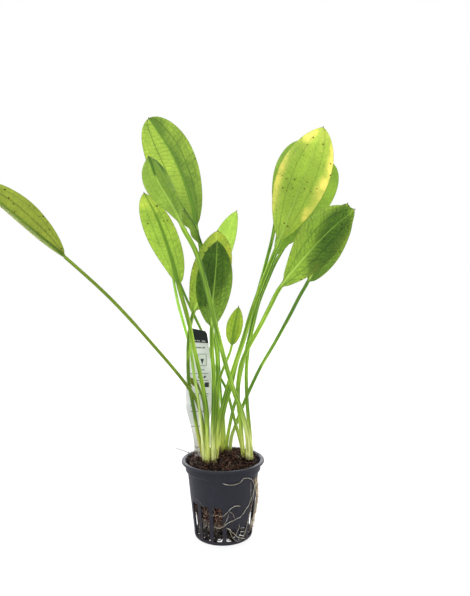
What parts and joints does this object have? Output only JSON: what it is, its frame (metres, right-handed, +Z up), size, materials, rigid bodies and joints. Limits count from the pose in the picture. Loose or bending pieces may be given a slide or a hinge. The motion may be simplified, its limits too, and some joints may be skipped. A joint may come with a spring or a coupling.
{
  "type": "potted amazon sword plant",
  "caption": "Broad-leaved aquatic rosette plant in a slotted net pot, with long arching petioles, a plain stake label and roots grown out of the pot.",
  "frame": {"origin": "centre of the pot's underside, where it rests", "axes": "+Z up along the pot's axis, -Y the front seen in the picture, +X to the right seen from the front"},
  "size_m": [0.2482, 0.0855, 0.2858],
  "materials": {
    "pot_plastic": "semi-matte moulded charcoal polypropylene",
    "coir": "damp dark coir and peat, fibrous and matte",
    "crown_flesh": "pale smooth rootstock",
    "leaf_green": "thin translucent leaf, soft gloss, veined",
    "label_plastic": "printed white polystyrene sheet",
    "root_skin": "pale fibrous root"
  },
  "bodies": {
    "root": {"net_pot": "pot_plastic", "growing_medium": "coir", "crown_left": "crown_flesh", "crown_right": "crown_flesh", "crown_back": "crown_flesh", "leaf_far_left": "leaf_green", "leaf_left_front": "leaf_green", "leaf_slender": "leaf_green", "leaf_centre": "leaf_green", "leaf_centre_back": "leaf_green", "leaf_small_centre": "leaf_green", "leaf_old_small": "leaf_green", "leaf_tall_left": "leaf_green", "leaf_right_front": "leaf_green", "leaf_folded": "leaf_green", "leaf_back_left": "leaf_green", "leaf_right_far": "leaf_green", "leaf_right_broad": "leaf_green", "leaf_young": "leaf_green", "leaf_lime": "leaf_green", "leaf_right_back": "leaf_green", "leaf_right_pale": "leaf_green", "leaf_right_low": "leaf_green", "plant_label": "label_plastic", "root_tuft": "root_skin", "root_long": "root_skin", "root_middle": "root_skin", "root_low": "root_skin", "root_bundle": "root_skin", "root_stray": "root_skin"}
  },
  "joints": []
}
